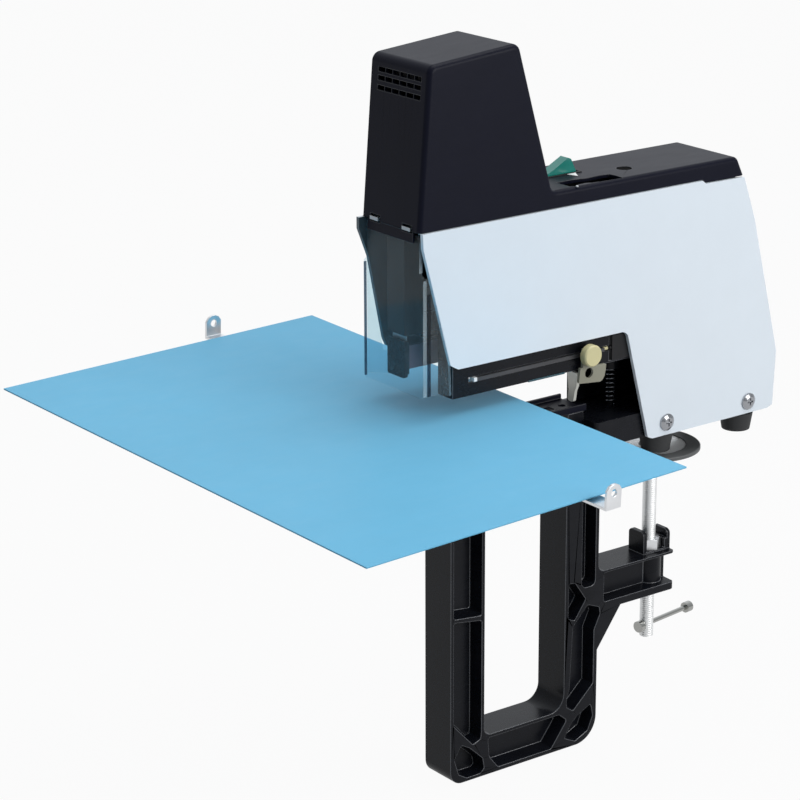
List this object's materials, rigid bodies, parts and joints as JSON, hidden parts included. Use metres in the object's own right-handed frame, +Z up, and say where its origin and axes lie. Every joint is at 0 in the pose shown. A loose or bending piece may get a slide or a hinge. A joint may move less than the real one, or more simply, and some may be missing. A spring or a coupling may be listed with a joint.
{
  "type": "saddle stapler",
  "caption": "Electric saddle stapler on a hanging window frame with table clamp, swinging head, depth stop, clear guard and flat table.",
  "frame": {"origin": "centre plane of the machine, front face of the nose plate, at the height of the table top that the four feet stand on", "axes": "+Z up, -Y to the front where the staple is driven, +Y to the rear, +X to the side with the depth stop"},
  "size_m": [0.32, 0.4044, 0.4099],
  "materials": {
    "cast_black": "satin",
    "panel_white": "gloss",
    "cover_black": "fine grain",
    "black_plastic": "satin",
    "rubber_black": "matt",
    "zinc": "bright zinc",
    "steel": "ground",
    "chrome": "polished",
    "clear": "clear",
    "blue_sheet": "satin",
    "cream": "gloss",
    "beige_metal": "satin",
    "teal": "translucent",
    "white_plastic": "gloss",
    "board_green": "lacquered",
    "copper": "enamelled wire",
    "foam": "foam"
  },
  "bodies": {
    "frame": {"saddle_frame": "cast_black", "bed_rails": "steel", "anvil_block": "steel", "anvil_plate": "chrome", "base_casting": "cast_black", "rubber_foot_1": "rubber_black", "rubber_foot_2": "rubber_black", "rubber_foot_3": "rubber_black", "rubber_foot_4": "rubber_black", "side_panel_right": "panel_white", "side_panel_left": "panel_white", "panel_screw_1": "chrome", "panel_screw_2": "chrome", "panel_screw_3": "chrome", "panel_screw_4": "chrome", "top_cover": "cover_black", "rocker_bezel": "black_plastic", "slider_well": "black_plastic", "status_lens": "black_plastic", "control_board": "board_green", "rear_cover": "cover_black", "power_inlet": "black_plastic", "upper_arm": "cast_black", "arm_lip": "zinc", "micro_switch": "black_plastic", "driver_housing": "cast_black", "arm_pivot_pin": "steel", "solenoid_yoke": "steel", "solenoid_coil": "copper", "clamp_nut": "zinc", "support_strip": "zinc", "strip_pad_right": "foam", "strip_pad_left": "foam", "return_spring": "steel"},
    "head": {"head_arm": "cast_black", "nose_plate": "cast_black", "magazine_channel": "steel", "staple_strip": "zinc", "pusher_spring": "steel"},
    "pusher": {"staple_pusher": "white_plastic"},
    "driver": {"driver_blade": "steel", "driver_holder": "steel"},
    "plunger": {"plunger": "steel"},
    "guard": {"front_guard": "clear"},
    "trigger": {"stop_rail": "zinc", "rail_tip": "white_plastic"},
    "stop": {"stop_bracket": "beige_metal", "stop_finger": "zinc"},
    "knob": {"stop_knob": "cream"},
    "rocker": {"rocker_switch": "teal"},
    "slider": {"force_slider": "black_plastic"},
    "pad": {"clamp_pad": "rubber_black"},
    "spindle": {"clamp_spindle": "zinc"},
    "bar": {"tommy_bar": "chrome", "tommy_cap_near": "chrome", "tommy_cap_far": "chrome"},
    "table": {"flat_table": "blue_sheet"}
  },
  "joints": [
    {"name": "plunger_stroke", "type": "slide", "parent": "frame", "child": "plunger", "axis": [0, 0, -1], "range_m": [0, 0.0244], "stiffness_N_per_m": 500, "springref_m": -0.012},
    {"name": "head_press", "type": "hinge", "parent": "frame", "child": "head", "pos_m": [0, 0.205, 0.078], "axis": [1, 0, 0], "range_deg": [0, 5.1], "deforming": ["return_spring"]},
    {"name": "driver_stroke", "type": "slide", "parent": "head", "child": "driver", "axis": [0, 0, -1], "range_m": [0, 0.009]},
    {"name": "pusher_back", "type": "slide", "parent": "head", "child": "pusher", "axis": [0, 1, 0], "range_m": [0, 0.015], "stiffness_N_per_m": 40, "springref_m": -0.012, "deforming": ["pusher_spring"]},
    {"name": "guard_swing", "type": "hinge", "parent": "frame", "child": "guard", "pos_m": [0, -0.0022, 0.146], "axis": [-1, 0, 0], "range_deg": [0, 10]},
    {"name": "trigger_push", "type": "slide", "parent": "frame", "child": "trigger", "axis": [0, 1, 0], "range_m": [0, 0.001], "stiffness_N_per_m": 60, "springref_m": -0.003},
    {"name": "stop_shift", "type": "slide", "parent": "trigger", "child": "stop", "axis": [0, 1, 0], "range_m": [-0.028, 0]},
    {"name": "stop_lock", "type": "hinge", "parent": "stop", "child": "knob", "pos_m": [0.028, 0.1083, 0.06745], "axis": [1, 0, 0], "range_deg": [-180, 0]},
    {"name": "power_rocker", "type": "hinge", "parent": "frame", "child": "rocker", "pos_m": [-0.0062, 0.111, 0.157], "axis": [-1, 0, 0], "range_deg": [0, 12]},
    {"name": "force_set", "type": "slide", "parent": "frame", "child": "slider", "axis": [0, 1, 0], "range_m": [-0.018, 0.009]},
    {"name": "pad_raise", "type": "slide", "parent": "frame", "child": "pad", "axis": [0, 0, 1], "range_m": [-0.044, 0]},
    {"name": "spindle_turn", "type": "hinge", "parent": "pad", "child": "spindle", "pos_m": [0, 0.178, -0.06], "axis": [0, 0, 1], "range_deg": [-12680, 0]},
    {"name": "tommy_slide", "type": "slide", "parent": "spindle", "child": "bar", "axis": [-0.1409, 0.99, 0], "range_m": [-0.0295, 0]},
    {"name": "table_slide", "type": "slide", "parent": "frame", "child": "table", "axis": [0.0721, -0.9974, 0.0007], "range_m": [0, 0.055]}
  ],
  "couplings": [
    {"joint": "head_press", "follows": "plunger_stroke", "rad_per_m": 3.6475},
    {"joint": "driver_stroke", "follows": "plunger_stroke", "ratio": 0.3688},
    {"joint": "spindle_turn", "follows": "pad_raise", "rad_per_m": 5026.5}
  ]
}
